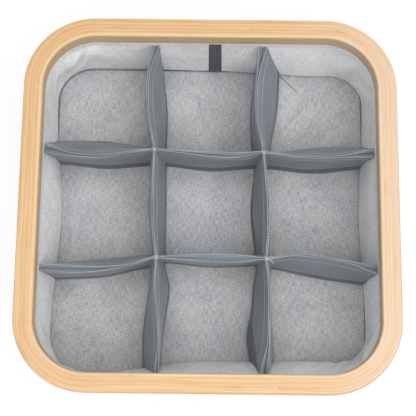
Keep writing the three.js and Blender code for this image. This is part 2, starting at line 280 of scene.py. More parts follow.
rim_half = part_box("rim_ply_5_outer")[1].x
ply_pitch = rim_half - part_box("rim_ply_4")[1].x
bamboo = bamboo_finish("lacquered_bamboo", **BAMBOO)
pale_bamboo = bamboo_finish("lacquered_pale_bamboo", **PALE_HIGHLIT_BAMBOO)
for count, node in enumerate(PLY_JOINTS):
    inner = node.endswith("inner")
    thickness = INNER_PLY_THICKNESS if inner else ply_pitch - GLUE_LINE
    ply = bent_ply(node, thickness, HANDLED_FACE.get(node), count * GRAIN_SHIFT)
    finish = pale_bamboo if inner else bamboo
    slot = "pale_bamboo" if inner else "bamboo"
    add_piece(f"bent_ply_{count + 1}", ply, finish, slot, node)

# Tub lining
# One long strip of heather-grey linen-look cloth goes round the inside of the tub, tucked under the inner
# ply at the top and sewn to the bottom at its foot. The soft walls bulge in, and the corners crumple.
TUB_CLOTH = 0.6 * MM
LINING_CORNER = 44.74 * MM
FLOOR_CORNER = 34 * MM
CLOTH_FACET = 1.8 * MM
BELLY = 0.92  # how far down the bulge is deepest, from the rim to the insert
SEAM_PLACE = -4 * MM  # along the back wall, under the tape
BULGE_REACH = 92 * MM
WALL_BULGE = {  # how far each wall bulges in at its start, middle and end, counter-clockwise
    "right": (2.2 * MM, 6.5 * MM, 2 * MM),
    "back": (8 * MM, 3.4 * MM, 1.2 * MM),
    "left": (1.6 * MM, 9 * MM, 3 * MM),
    "front": (1.6 * MM, 13 * MM, 14 * MM),
}
# The loose lining folds over at the back left. Each place says how far along it lies from the back wall's
# middle, how far down the fold's crest is there, and how far in the cloth comes.
SLUMP = [
    (60 * MM, 0.9, 0),
    (80 * MM, 0.6, 1.8 * MM),
    (102 * MM, 0.2, 3.6 * MM),
    (114 * MM, 0.26, 3.6 * MM),
    (126 * MM, 0.22, 2.4 * MM),
    (142 * MM, 0.15, 0),
]
# The lining's heather is drawn much paler than the insert's and the outer skin's. This is painted light: a
# lit copy of the cloth that stands in for the light falling on the walls.
PALE_LIT_HEATHER = {"dark": (0.64, 0.65, 0.665, 1), "light": (0.97, 0.97, 0.975, 1)}
THREAD = 0.5 * MM
SLUB = 7 * MM
WARP = (1.2 * THREAD, SLUB)
WEFT = (0.6 * SLUB, 1.2 * THREAD)
CLOUD = 30 * MM
WEAVE_DEPTH = 0.12 * MM
# A thin dark line of painted shade along one crease of the insert's cloth: its colour, the widths of its
# core and edge, and where it fades.
PAINTED_CREASE_SHADE = (0.1, 0.1, 0.11, 1)
PINCH_CORE = 0.2 * MM
PINCH_EDGE = 0.8 * MM
PINCH_FADES = 0.8  # from there to its end, as a share of its length
SEAM_HOLD = 12 * MM  # this near to the seam the waves die away
CORNER_STARTS = 0.34  # from a wall's middle, as a share of a quarter of the way round
CORNER_EASES = 0.1
WAVE_LENGTH = 30 * MM
WAVE_HEIGHT = 40 * MM
WAVE_DEPTH = 1.7 * MM
WAVE_CORNER_DEPTH = 1.2 * MM  # on top of that in the corners
WAVE_SLICE = 3.1  # of the noise
CREASE_LENGTH = 19 * MM
CREASE_HEIGHT = 60 * MM
CREASE_LEAN = 0.35
CREASE_DEPTH = 1.2 * MM
CREASE_CORNER_DEPTH = 6 * MM
CREASE_RIDGE = 0.3  # the share of that depth that stands in
CREASE_SLICE = 7.7
WELD = 0.01 * MM

lining_low, lining_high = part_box("tub_lining")
lining_half = lining_high.x - TUB_CLOTH
lining_quarter = quarter_way(lining_half, LINING_CORNER)
rim_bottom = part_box("rim_ply_2")[0].z
base_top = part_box("base_cover")[1].z
seam = lining_quarter + SEAM_PLACE


def crease_shade(x, y, start, end):
    """How strongly the painted shade along a crease between two places covers a place on a flat cloth, from
    0 to 1.
    """
    run = (end - start).normalized()
    along = (x - start.x) * run.x + (y - start.y) * run.y
    across = (x - start.x) * run.y - (y - start.y) * run.x
    near = 1 - ramp(across.math("ABSOLUTE", across), PINCH_CORE, PINCH_EDGE)
    length = (end - start).length
    fading = 1 - ramp(along, length * PINCH_FADES, length)
    return near * fading * ramp(along, 0, 1 * MM)


def heather_finish(name, dark, light, fold=None):
    material, start = new_finish(name)
    cloth = start.node("ShaderNodeUVMap", {}, uv_map="cloth")
    warp = streaks(cloth, *WARP)
    weft = streaks(cloth, *WEFT)
    clouds = streaks(cloth, CLOUD, CLOUD)
    along = axis(cloth, "X")
    across = axis(cloth, "Y")
    ridge = along.math("SINE", along * (math.pi / THREAD))
    row = across.math("SINE", across * (math.pi / THREAD))
    over = ramp(ridge * row, -0.4, 0.4)
    tone = warp * (0.6 + over * 0.4) + weft * (1 - over * 0.4) + clouds * 0.3
    tone = ramp(tone, 0.62, 1.28)
    height = over.math("ABSOLUTE", ridge) * over + over.math("ABSOLUTE", row) * (1 - over)
    colour = blend_colour(tone, dark, light)
    if fold:
        # Painted shade: a dark line along one crease, where the fold's shadow falls.
        colour = blend_colour(crease_shade(along, across, *fold) * 0.7, colour, PAINTED_CREASE_SHADE)
    sockets = {
        "Base Color": colour,
        "Roughness": 0.92,
        "Normal": bump(height + tone * 0.6, WEAVE_DEPTH, 0.5),
        "Sheen Weight": 0.1,
        "Sheen Roughness": 0.5,
        "Specular IOR Level": 0.2,
    }
    close_finish(start, sockets)
    return material


def cut_cloth(length, width, facet):
    """A flat piece of cloth with a corner at the origin, which keeps its flat places as the weave's map."""
    bm = bmesh.new()
    segments = {"x_segments": round(length / facet), "y_segments": round(width / facet)}
    bmesh.ops.create_grid(bm, size=0.5, **segments)
    bmesh.ops.translate(bm, vec=(0.5, 0.5, 0), verts=bm.verts)
    bmesh.ops.scale(bm, vec=(length, width, 1), verts=bm.verts)
    map_cloth(bm, {vert: vert.co.xy for vert in bm.verts})
    return bm


def map_cloth(bm, places, name="cloth"):
    weave = bm.loops.layers.uv.new(name)
    for face in bm.faces:
        for loop in face.loops:
            loop[weave].uv = places[loop.vert]


def ease(share):
    """A smooth step from 0 to 1."""
    share = min(max(share, 0), 1)
    return share * share * (3 - 2 * share)


def bulge_depth(distance):
    """How far the wall bulges in at most, between the places given for each side."""
    round_way = 4 * lining_quarter
    places = [
        (turn * lining_quarter + step * BULGE_REACH, depth)
        for turn, side in enumerate(SIDES)
        for step, depth in zip((-1, 0, 1), WALL_BULGE[side])
    ]
    places.append((places[0][0] + round_way, places[0][1]))
    distance = (distance + BULGE_REACH) % round_way - BULGE_REACH
    pairs = zip(places, places[1:])
    (start, first), (end, last) = next(pair for pair in pairs if pair[0][0] <= distance <= pair[1][0])
    return first + (last - first) * ease((distance - start) / (end - start))


def slump_depth(distance, sink):
    """How far the loose lining folds over at the back left."""
    way = distance - lining_quarter
    for (start, high, first), (end, low, last) in zip(SLUMP, SLUMP[1:]):
        if start <= way < end:
            share = (way - start) / (end - start)
            crest = high + (low - high) * share
            depth = first + (last - first) * share
            return depth * min(math.sin(math.pi / 2 * min(sink / crest, 1)), (1 - sink) / (1 - crest))
    return 0


def lining_hang(distance, sink):
    """How far the lining hangs in: it leans in down to a roll that rests on the insert."""
    lean = (sink / BELLY + math.sin(math.pi / 2 * sink / BELLY)) / 2
    if sink > BELLY:
        lean = math.sqrt(1 - ((sink - BELLY) / (1 - BELLY)) ** 2)
    return bulge_depth(distance) * lean + slump_depth(distance, sink)


def wall_fold(distance, z):
    """Soft waves and creases in the cloth, deeper in the corners."""
    sink = min(max((lining_high.z - z) / (lining_high.z - base_top), 0), 1)
    way = (distance - seam) % (4 * lining_quarter)
    hold = math.sin(math.pi * sink) * ease(min(way, 4 * lining_quarter - way) / SEAM_HOLD)
    turn = abs((distance / lining_quarter + 0.5) % 1 - 0.5)
    corner = ease((turn - CORNER_STARTS) / CORNER_EASES)
    wave = noise.noise(Vector((way / WAVE_LENGTH, z / WAVE_HEIGHT, WAVE_SLICE)))
    lean = way + CREASE_LEAN * z
    ridge = noise.noise(Vector((lean / CREASE_LENGTH, z / CREASE_HEIGHT, CREASE_SLICE)))
    crease = CREASE_RIDGE - abs(ridge)
    wave *= WAVE_DEPTH + WAVE_CORNER_DEPTH * corner
    crease *= CREASE_DEPTH + CREASE_CORNER_DEPTH * corner
    return (wave + crease) * hold


def on_wall(distance, z, offset, hang=lining_hang):
    """A point of the tub's wall, at an offset out from the lining's inner face."""
    sink = min(max((rim_bottom - z) / (rim_bottom - base_top), 0), 1)
    tight = LINING_CORNER + (FLOOR_CORNER - LINING_CORNER) * sink
    point, out = round_path(distance, lining_half, LINING_CORNER, tight)
    point += out * (offset - hang(distance, sink) - wall_fold(distance, z))
    return Vector((*point, z))


def hang_wall(low, high, offset, hang=lining_hang):
    """A strip of cloth hung all round the wall, closed behind the tape."""
    bm = cut_cloth(4 * lining_quarter, high - low, CLOTH_FACET)
    for vert in bm.verts:
        vert.co = on_wall(seam + vert.co.x, low + vert.co.y, offset, hang)
    bmesh.ops.remove_doubles(bm, verts=bm.verts, dist=WELD)
    return bm


def thicken(piece, thickness, offset):
    """Gives a sheet its thickness, to the side of its faces that the offset says."""
    solid = piece.modifiers.new("thickness", "SOLIDIFY")
    solid.thickness = thickness
    solid.offset = offset


pale_lit_heather = heather_finish("heather_lining", **PALE_LIT_HEATHER)
wall = hang_wall(lining_low.z, lining_high.z, TUB_CLOTH)
lining = add_piece("lining_cloth", wall, pale_lit_heather, "heather_cloth", "tub_lining")
thicken(lining, TUB_CLOTH, -1)
lining_flat = (lining_high.z - lining_low.z, 4 * lining_quarter)

# Tub's outer skin and bottom
# The outer cloth goes round the stiffened walls in one strip, and a flat square of the same cloth is sewn
# in along its foot as the bottom that the organizer stands on.
SKIN_STANDS_OUT = 2.3 * MM  # from the lining's inner face to the outer skin's
SKIN_BULGE = 0.6  # as a share of the lining's
SKIN_SAG = 1.35  # above 1, the hollow is deepest below the middle
HEATHER = {"dark": (0.27, 0.275, 0.288, 1), "light": (0.54, 0.54, 0.552, 1)}
BOTTOM_CORNER = 36 * MM
BOTTOM_FACET = 3.6 * MM

skin_low, skin_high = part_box("tub_outer_skin")


def skin_hang(distance, sink):
    """How far the outer skin hangs in, in a gentler hollow than the lining."""
    return SKIN_BULGE * bulge_depth(distance) * math.sin(math.pi * sink**SKIN_SAG)


heather = heather_finish("heather_cloth", **HEATHER)
wall = hang_wall(skin_low.z, skin_high.z, SKIN_STANDS_OUT + TUB_CLOTH, skin_hang)
skin = add_piece("outer_cloth", wall, heather, "heather_cloth", "tub_outer_skin")
thicken(skin, TUB_CLOTH, -1)
skin_flat = (skin_high.z - skin_low.z, 4 * lining_quarter)


def round_corner(point, half, radius):
    """Draws the corners of a square piece of cloth in to round ones."""
    reach = half - radius
    x = max(abs(point.x) - reach, 0) / radius
    y = max(abs(point.y) - reach, 0) / radius
    if x and y:
        point.x = math.copysign(reach + radius * x * math.sqrt(1 - y * y / 2), point.x)
        point.y = math.copysign(reach + radius * y * math.sqrt(1 - x * x / 2), point.y)


def square_cloth(half, radius, facet):
    """A flat square of cloth with round corners, centred on the origin."""
    bm = bmesh.new()
    steps = round(2 * half / facet)
    bmesh.ops.create_grid(bm, x_segments=steps, y_segments=steps, size=half)
    for vert in bm.verts:
        round_corner(vert.co, half, radius)
    return bm


bottom_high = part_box("tub_bottom")[1]
bottom = square_cloth(bottom_high.x, BOTTOM_CORNER, BOTTOM_FACET)
map_cloth(bottom, {vert: vert.co.xy for vert in bottom.verts})
bottom_piece = add_piece("tub_bottom_cloth", bottom, heather, "heather_cloth", "tub_bottom")
thicken(bottom_piece, bottom_high.z, 1)

# Boards
# Panels of raw greyboard stiffen the four straight walls between the two cloths and bend with them, and a
# thicker board fills the base insert. They are cut flat and are hidden once the cloth is sewn.
GREYBOARD = {"dark": (0.25, 0.225, 0.19, 1), "light": (0.38, 0.35, 0.3, 1)}
PANEL_STANDS_OUT = 0.9 * MM
PANEL_THICKNESS = 1.1 * MM
PANEL_FACET = 2.5 * MM
PULP_SCALE = 700.0
PULP_DEPTH = 0.1 * MM


def greyboard_finish(name, dark, light):
    material, start = new_finish(name)
    place = start.node("ShaderNodeTexCoord", {}, output="Object")
    pulp = start.node("ShaderNodeTexNoise", {"Vector": place, "Scale": PULP_SCALE, "Detail": 4.0})
    sockets = {
        "Base Color": blend_colour(ramp(pulp, 0.35, 0.65), dark, light),
        "Roughness": 0.9,
        "Normal": bump(pulp, PULP_DEPTH),
    }
    close_finish(start, sockets)
    return material


greyboard = greyboard_finish("raw_greyboard", **GREYBOARD)
board_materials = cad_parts["base_board"].data.materials
board_materials.clear()
board_materials.append(greyboard)
for turn, side in enumerate(SIDES):
    node = f"wall_stiffener_{side}"
    low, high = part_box(node)
    width = min(max(high.x - low.x, high.y - low.y), 2 * (lining_half - LINING_CORNER))
    panel = cut_cloth(width, high.z - low.z, PANEL_FACET)
    for vert in panel.verts:
        distance = turn * lining_quarter + vert.co.x - width / 2
        vert.co = on_wall(distance, low.z + vert.co.y, PANEL_STANDS_OUT + PANEL_THICKNESS, skin_hang)
    panel_piece = add_piece(f"wall_panel_{side}", panel, greyboard, "greyboard", node)
    thicken(panel_piece, PANEL_THICKNESS, -1)

# Seam tape
# A charcoal woven tape is sewn over the lining's seam on the back wall, from under the rim to the floor,
# and it bends with the wall. It is woven in a herringbone twill.
TAPE_WIDTH = 11 * MM
TAPE_THICKNESS = 0.5 * MM
TAPE_FACET = 0.9 * MM
CHARCOAL = {"dark": (0.085, 0.085, 0.095, 1), "light": (0.25, 0.25, 0.27, 1)}
TAPE_GAP = 0.15 * MM
RIB = 0.8 * MM
RIB_DEPTH = 0.2 * MM
YARN = (0.5 * MM, 2 * MM)


def tape_finish(name, dark, light):
    material, start = new_finish(name)
    cloth = start.node("ShaderNodeUVMap", {}, uv_map="cloth")
    along = axis(cloth, "X")
    across = axis(cloth, "Y")
    zigzag = across.math("PINGPONG", along / RIB, 2.0) + across / RIB
    twill = zigzag.math("SINE", zigzag * (2 * math.pi))
    yarn = streaks(cloth, *YARN)
    sockets = {
        "Base Color": blend_colour(ramp(twill * 0.2 + yarn, 0.3, 0.8), dark, light),
        "Roughness": 0.85,
        "Normal": bump(twill, RIB_DEPTH),
        "Specular IOR Level": 0.25,
    }
    close_finish(start, sockets)
    return material


tape_length = lining_high.z - lining_low.z
tape = cut_cloth(TAPE_WIDTH, tape_length, TAPE_FACET)
for vert in tape.verts:
    vert.co = on_wall(seam + vert.co.x - TAPE_WIDTH / 2, lining_low.z + vert.co.y, -TAPE_GAP)
woven_tape = tape_finish("woven_tape", **CHARCOAL)
tape_piece = add_piece("seam_binding", tape, woven_tape, "woven_tape", "seam_tape")
thicken(tape_piece, TAPE_THICKNESS, -1)

# Base insert
# The same heather cloth is pulled over a board, rolled round its edge and turned under, and the insert
# lies on the tub's bottom. The cloth is a little loose, so that it crowns and creases under the dividers.
COVER_CORNER = 32.2 * MM
COVER_EDGE = 1.2 * MM
COVER_ROLL = (0.52, 1.05, 1.57)  # how far round the edge the cloth is turned, in radians
UNDER_EDGE = 1 * MM
COVER_CROWN = 1.5 * MM
COVER_CLOTH = 0.8 * TUB_CLOTH  # stretched thinner
SWELL_LENGTH = 45 * MM
SWELL_RISE = 0.9 * MM
SWELL_SLICE = 1.7
RIPPLE_LENGTH = 18 * MM
RIPPLE_RISE = 0.18 * MM
RIPPLE_SLICE = 5.2
COVER_SETTLES = 0.45 * MM
COVER_HEM = 20 * MM
COVER_FACET = 1.7 * MM
COVER_FOLDS = [  # from where, to where, how wide and how high the loose cloth folds
    (Vector((66, 140)) * MM, Vector((86, 120)) * MM, 3 * MM, 0.6 * MM),
    (Vector((96, 113)) * MM, Vector((62, 74)) * MM, 2.6 * MM, 2.4 * MM),
    (Vector((112, 104)) * MM, Vector((80, 70)) * MM, 2.6 * MM, 2 * MM),
    (Vector((-128, 22)) * MM, Vector((-124, -40)) * MM, 2.6 * MM, 3.6 * MM),
    (Vector((-116, 18)) * MM, Vector((-115, -34)) * MM, 2.6 * MM, 2.8 * MM),
    (Vector((-118, -62)) * MM, Vector((-132, -84)) * MM, 2.6 * MM, 2.8 * MM),
]
# Where the insert's cloth gets a dark line of painted shade along a crease.
SHADED_CREASE = (Vector((65, 138.3)) * MM, Vector((83.8, 119.8)) * MM)

cover_low, cover_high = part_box("base_cover")
cover_half = cover_high.x


def crease(point, start, end, width):
    """How much a sharp crease between two places shows at a point, from 0 to 1."""
    run = end - start
    share = (point - start).dot(run) / run.length_squared
    nearest = start + run * min(max(share, 0), 1)
    fade = math.sin(math.pi * min(max(share, 0.02), 0.98))
    return math.exp(-(((point - nearest).length / width) ** 2)) * fade


def cover_height(point):
    """The height of the insert's cloth: a low crown, soft waves and a few creases."""
    x, y = point / cover_half
    crown = COVER_CROWN * (1 - x * x) * (1 - y * y)
    swell = noise.noise(Vector((*(point / SWELL_LENGTH), SWELL_SLICE))) * SWELL_RISE
    ripple = noise.noise(Vector((*(point / RIPPLE_LENGTH), RIPPLE_SLICE))) * RIPPLE_RISE
    folds = sum(crease(point, start, end, width) * rise for start, end, width, rise in COVER_FOLDS)
    hold = (1 - x**8) * (1 - y**8)
    return cover_high.z - COVER_CROWN + crown + (swell + ripple + folds - COVER_SETTLES) * hold


cover = square_cloth(cover_half - COVER_EDGE, COVER_CORNER - COVER_EDGE, COVER_FACET)
flat_places = {vert: vert.co.xy for vert in cover.verts}
for vert in cover.verts:
    vert.co.z = cover_height(vert.co.xy)
edge_z = cover_high.z - COVER_CROWN
turns = []
for angle in COVER_ROLL:
    turns.append((COVER_EDGE * (1 - math.sin(angle)), edge_z - COVER_EDGE * (1 - math.cos(angle))))
turns += [(0, cover_low.z + UNDER_EDGE), (UNDER_EDGE, cover_low.z), (COVER_HEM, cover_low.z)]
rim_edges = [edge for edge in cover.edges if edge.is_boundary]
inset_before = COVER_EDGE
z_before = edge_z
for inset, z in turns:
    grown = bmesh.ops.extrude_edge_only(cover, edges=rim_edges)["geom"]
    ring = [item for item in grown if isinstance(item, bmesh.types.BMVert)]
    rim_edges = [item for item in grown if isinstance(item, bmesh.types.BMEdge) and item.is_boundary]
    travel = math.hypot(inset - inset_before, z - z_before)
    for vert in ring:
        neighbour = next(edge.other_vert(vert) for edge in vert.link_edges if edge not in rim_edges)
        flat_places[vert] = flat_places[neighbour] * (1 + travel / cover_half)
        vert.co.xy *= (cover_half - inset) / (cover_half - inset_before)
        vert.co.z = z
    inset_before = inset
    z_before = z
map_cloth(cover, flat_places)
bmesh.ops.recalc_face_normals(cover, faces=cover.faces)
insert_cloth = heather_finish("heather_insert", **HEATHER, fold=SHADED_CREASE)
cover_piece = add_piece("insert_cover", cover, insert_cloth, "heather_cloth", "base_cover")
thicken(cover_piece, COVER_CLOTH, -1)

# Dividers
# Nine strips of slate non-woven cloth, one round each compartment, are hemmed top and bottom. They are
# tacked to each other at the crossings and to the lining at the walls. Their feet splay into the
# compartments and stand on the insert.
LAYER = 0.3 * MM
HEM_STEPS = 3
FOLD_STEPS = 6
FACE_STEPS = 22
TOP_HEM = 12 * MM
FOOT_HEM = 17 * MM
STRIP_THICKNESS = 0.7 * MM
STRIP_GAP = 0.1 * MM
SEW_GAP = 0.6 * MM
RUN_FACET = 2.5 * MM
BEND_REACH = 1.5 * RUN_FACET
BEND_SMOOTHINGS = 3
FOOT_STANDS = 0.5  # the share of the foot hem that stands up straight
TOP_CURVE = 1.5
HEM_SPREADS = 0.55  # how far along its run the foot hem's band of painted shade starts to widen
GAP_SAG = 0.35  # how deep the top hems hang in the gap between two strips, as a share of it
LEAST_SAG = 0.5 * MM
RUN_WAVE_LENGTH = 30 * MM
RUN_WAVE_HEIGHT = 40 * MM
RUN_WAVE_DEPTH = 0.8 * MM
SLATE = {
    "dark": (0.118, 0.136, 0.155, 1),
    "light": (0.27, 0.307, 0.345, 1),
    "fold_highlight": (0.34, 0.38, 0.415, 1),
    "shaded": (0.05, 0.055, 0.062, 1),
}
BOND = 1.1 * MM
FELT = 0.6 * MM
FELT_DEPTH = 0.12 * MM
DRAWN = (30 * MM, 2.5 * MM)
# How the painted highlight along the top folds comes and goes along a strip, and how wide it is.
HIGHLIGHT_PATCHES = (45 * MM, 80 * MM)
FOLD_CORE = 0.2 * MM
FOLD_EDGE = 0.55 * MM
HEM_EDGE = 0.6 * MM
OUT = {
    "right": Vector((1, 0)),
    "back": Vector((0, 1)),
    "left": Vector((-1, 0)),
    "front": Vector((0, -1)),
}
CROSSING = {
    "back_left": Vector((-48, 48.5)) * MM,
    "back_right": Vector((47, 47)) * MM,
    "front_left": Vector((-44.5, -46)) * MM,
    "front_right": Vector((49.5, -46)) * MM,
}
WALL_END = {  # the wall that a run of cloth ends on, and its place along X or Y
    "back_wall_left": ("back", Vector((-49, 0)) * MM),
    "back_wall_right": ("back", Vector((46, 0)) * MM),
    "front_wall_left": ("front", Vector((-42, 0)) * MM),
    "front_wall_right": ("front", Vector((48.5, 0)) * MM),
    "left_wall_back": ("left", Vector((0, 49.5)) * MM),
    "left_wall_front": ("left", Vector((0, -55.5)) * MM),
    "right_wall_back": ("right", Vector((0, 48.5)) * MM),
    "right_wall_front": ("right", Vector((0, -53)) * MM),
}
# The runs of each strip: from where, to where, the side that its compartment lies on, and in millimetres
# how far the top edge and the foot stand that way at even steps. On one run the dark band of the foot hem
# widens towards the wall as painted shade, and the last value says how much wider it is at the wall.
STRIPS = {
    "back_left": [
        ("back_wall_left", "back_left", "left", (3, 5.9, 6.9, 4.9, 0), (9.5, 11, 5)),
        ("back_left", "left_wall_back", "back", (0, -3.2, -6.8, -5.4, 2.8), (14, 19, 18.5)),
    ],
    "back_middle": [
        ("back_wall_left", "back_left", "right", (3, -4.8, -6.5, -4.6, 0), (4, 8, 7.5)),
        ("back_left", "back_right", "back", (0, -1, -1.5, -1.5, 0), (9.5, 11.5, 9.5)),
        ("back_right", "back_wall_right", "left", (0, 5, 6.1, 4.6, 3), (7, 8, 4)),
    ],
    "back_right": [
        ("back_wall_right", "back_right", "right", (3, -3.6, -5.7, -4.6, 0), (18, 15, 8)),
        ("back_right", "right_wall_back", "back", (0, -3.8, -4.6, -3.2, 2.5), (12, 16.5, 17)),
    ],
    "middle_left": [
        ("left_wall_back", "back_left", "front", (4.5, 7, 7.8, 3.5, 0), (0, 3.5, 0)),
        ("back_left", "front_left", "left", (0, 1.4, 2.2, 2.2, 0), (5.5, 8, 5)),
        ("front_left", "left_wall_front", "back", (0, -4.6, -4.1, -0.8, 1.7), (9.2, 9.7, 10)),
    ],
    "centre": [
        ("back_right", "back_left", "front", (0, 5.1, 4.8, 2.3, 0), (0, 3.5, 0)),
        ("back_left", "front_left", "right", (0, -1.2, -1.8, -1.8, 0), (7.5, 6.5, 5)),
        ("front_left", "front_right", "back", (0, 1.8, 2.8, 2.5, 0), (9, 10.5, 9.8)),
        ("front_right", "back_right", "left", (0, -1.9, -2.7, -1.4, 0), (6.5, 9, 4.5)),
    ],
    "middle_right": [
        ("right_wall_front", "front_right", "back", (1.7, 3.1, 5, 5.3, 0), (6, 10, 6)),
        ("front_right", "back_right", "right", (0, 2.2, 3.1, 1.6, 0), (5, 7, 5)),
        ("back_right", "right_wall_back", "front", (0, 4.2, 5.1, 4.3, 4.5), (0, 4.5, 1)),
    ],
    "front_left": [
        ("left_wall_front", "front_left", "front", (2.2, 6.2, 7.3, 5, 0), (3, 5, 0)),
        ("front_left", "front_wall_left", "left", (0, 1.1, -0.8, -1.7, 1), (6.5, 10, 14, 14)),
    ],
    "front_middle": [
        ("front_wall_left", "front_left", "right", (1, 1.9, 1.1, -0.8, 0), (0, 2, 5.5, 8.5, 4)),
        ("front_left", "front_right", "front", (0, 1.6, 3, 2.8, 0), (-4, -0.5, -2)),
        ("front_right", "front_wall_right", "left", (0, -2.3, -2.6, -1.8, 3.8), (5, 8, 9.5, 13, 10), 30),
    ],
    "front_right": [
        ("front_wall_right", "front_right", "right", (2.2, 2.5, 2.9, 2.6, 0), (10, 7.5, 6)),
        ("front_right", "right_wall_front", "front", (0, -4.8, -4.5, -2.2, 4.5), (0, 5, 7)),
    ],
}

strip_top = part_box("divider_centre")[1].z
strip_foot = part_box("divider_centre")[0].z
strip_height = strip_top - strip_foot
belly_height = rim_bottom - BELLY * (rim_bottom - base_top)


def slate_finish(name, dark, light, fold_highlight, shaded):
    material, start = new_finish(name)
    cloth = start.node("ShaderNodeUVMap", {}, uv_map="cloth")
    along = axis(cloth, "X")
    across = axis(cloth, "Y")
    column = along.math("SINE", along * (2 * math.pi / BOND))
    row = across.math("SINE", across * (2 * math.pi / BOND))
    bonds = ramp(column * row, 0.45, 0.8)
    felt = streaks(cloth, FELT, FELT, 4.0)
    drawn = streaks(cloth, *DRAWN)
    tone = ramp(felt * 0.8 + drawn * 0.3, 0.32, 0.78)
    folded = start.node("ShaderNodeUVMap", {}, uv_map="hem")
    hem = 1 - ramp(axis(folded, "Y"), hem_line - HEM_EDGE, hem_line + HEM_EDGE)
    fold = 1 - ramp(across.math("ABSOLUTE", across - fold_line), FOLD_CORE, FOLD_EDGE)
    highlight_patches = ramp(streaks(cloth, *HIGHLIGHT_PATCHES), 0.35, 0.65)
    colour = blend_colour(tone - bonds * 0.12, dark, light)
    # The foot hem's band is darkened towards the shaded colour. Part of this is the hem's darker double
    # layer and part is painted shade on the lower part of each sheet.
    colour = blend_colour(hem * 0.65, colour, shaded)
    # Painted highlight: the top fold edges are lightened where they catch the light, in patches along the
    # strip.
    colour = blend_colour(fold * (0.35 + highlight_patches * 0.55), colour, fold_highlight)
    sockets = {
        "Base Color": colour,
        "Roughness": 0.8,
        "Normal": bump(felt - bonds, FELT_DEPTH, 0.7),
        "Sheen Weight": 0.15,
        "Sheen Roughness": 0.4,
        "Specular IOR Level": 0.3,
    }
    close_finish(start, sockets)
    return material


def hemmed_section():
    """Across the folded strip: out from its hidden face and up from its foot, hem, face and hem."""
    fold = (STRIP_THICKNESS - LAYER) / 2
    middle = STRIP_THICKNESS / 2
    straight = strip_height - 2 * fold
    back = middle - fold
    front = middle + fold
    section = [(back, FOOT_HEM * (1 - step / HEM_STEPS) + fold) for step in range(HEM_STEPS)]
    for step in range(FOLD_STEPS + 1):
        angle = math.pi * (1 + step / FOLD_STEPS)
        section.append((middle + fold * math.cos(angle), fold + fold * math.sin(angle)))
    section += [(front, fold + straight * step / FACE_STEPS) for step in range(1, FACE_STEPS)]
    for step in range(FOLD_STEPS + 1):
        angle = math.pi * step / FOLD_STEPS
        section.append((middle + fold * math.cos(angle), fold + straight + fold * math.sin(angle)))
    hem_top = strip_height - fold
    section += [(back, hem_top - TOP_HEM * step / HEM_STEPS) for step in range(1, HEM_STEPS + 1)]
    return section


def flat_way(section):
    """How far along the flat cloth each point of a section lies."""
    flat = [0.0]
    for (out, up), (next_out, next_up) in zip(section, section[1:]):
        flat.append(flat[-1] + math.hypot(next_out - out, next_up - up))
    return flat


def between(values, share):
    """A smooth curve through evenly spaced values."""
    spot = min(max(share, 0), 1) * (len(values) - 1)
    index = min(int(spot), len(values) - 2)
    before = values[max(index - 1, 0)]
    first = values[index]
    last = values[index + 1]
    after = values[min(index + 2, len(values) - 1)]
    past = spot - index
    pull = (last - before) / 2
    push = (after - first) / 2
    cubic = (2 * first - 2 * last + pull + push) * past**3
    return cubic + (3 * last - 3 * first - 2 * pull - push) * past**2 + pull * past + first


def stand_off(run, share, height):
    """How far a run of cloth stands off its line. It slants from the top edge to the foot hem,
    which stands up straighter."""
    top = between(run[3], share)
    foot = between(run[4], share)
    slant = min((strip_height - height) / (strip_height - FOOT_HEM * FOOT_STANDS), 1)
    return (top * (1 - slant) ** TOP_CURVE + foot * slant) * MM


def hem_shade_growth(run, share):
    """How much wider the dark band of the foot hem is at a place on a run than elsewhere. The extra width
    is painted shade.
    """
    if len(run) < 6:
        return 0
    return run[5] * MM * max(share - HEM_SPREADS, 0) / (1 - HEM_SPREADS)


def top_opening(run, share):
    """How far the top edges of the two strips along a run stand apart."""
    across = OUT[run[2]] * -1
    pairs = [other for strip in STRIPS.values() for other in strip if OUT[other[2]] == across]
    partner = next(other for other in pairs if set(other[:2]) == set(run[:2]))
    there = share if partner[0] == run[0] else 1 - share
    return max(between(run[3], share) + between(partner[3], there), 0) * MM


def strip_point(strip, index, share, height, outward):
    """A point of a strip. A run's ends meet the next run's cloth at a crossing, or the wall."""
    run = strip[index]
    out = OUT[run[2]]

    def off(other, at):
        return stand_off(other, at, height) + STRIP_GAP / 2 + outward

    def anchor(place, neighbour, at):
        if place in CROSSING:
            return CROSSING[place] + OUT[neighbour[2]] * off(neighbour, at)
        side, line = WALL_END[place]
        way = OUT[side]
        spot = line + out * off(run, 1 - at)
        distance = SIDES.index(side) * lining_quarter + way.x * spot.y - way.y * spot.x
        wall = on_wall(distance, max(strip_foot + height, belly_height), -SEW_GAP)
        return line + way * wall.xy.dot(way)

    start = anchor(run[0], strip[index - 1], 1)
    end = anchor(run[1], strip[(index + 1) % len(strip)], 0)
    point = start.lerp(end, share) + out * off(run, share)
    slice_height = height / RUN_WAVE_HEIGHT + index
    wave = noise.noise(Vector((*(point / RUN_WAVE_LENGTH), slice_height)))
    hold = math.sin(math.pi * share) * math.sin(math.pi * min(height / strip_height, 1))
    point += out * wave * hold * RUN_WAVE_DEPTH
    return Vector((*point, strip_foot + height))


def run_length(run):
    """The length of a run on the plan."""
    ends = [CROSSING.get(place) for place in run[:2]]
    for index, place in enumerate(run[:2]):
        if place in WALL_END:
            side, line = WALL_END[place]
            ends[index] = line + OUT[side] * lining_half
    return (ends[1] - ends[0]).length


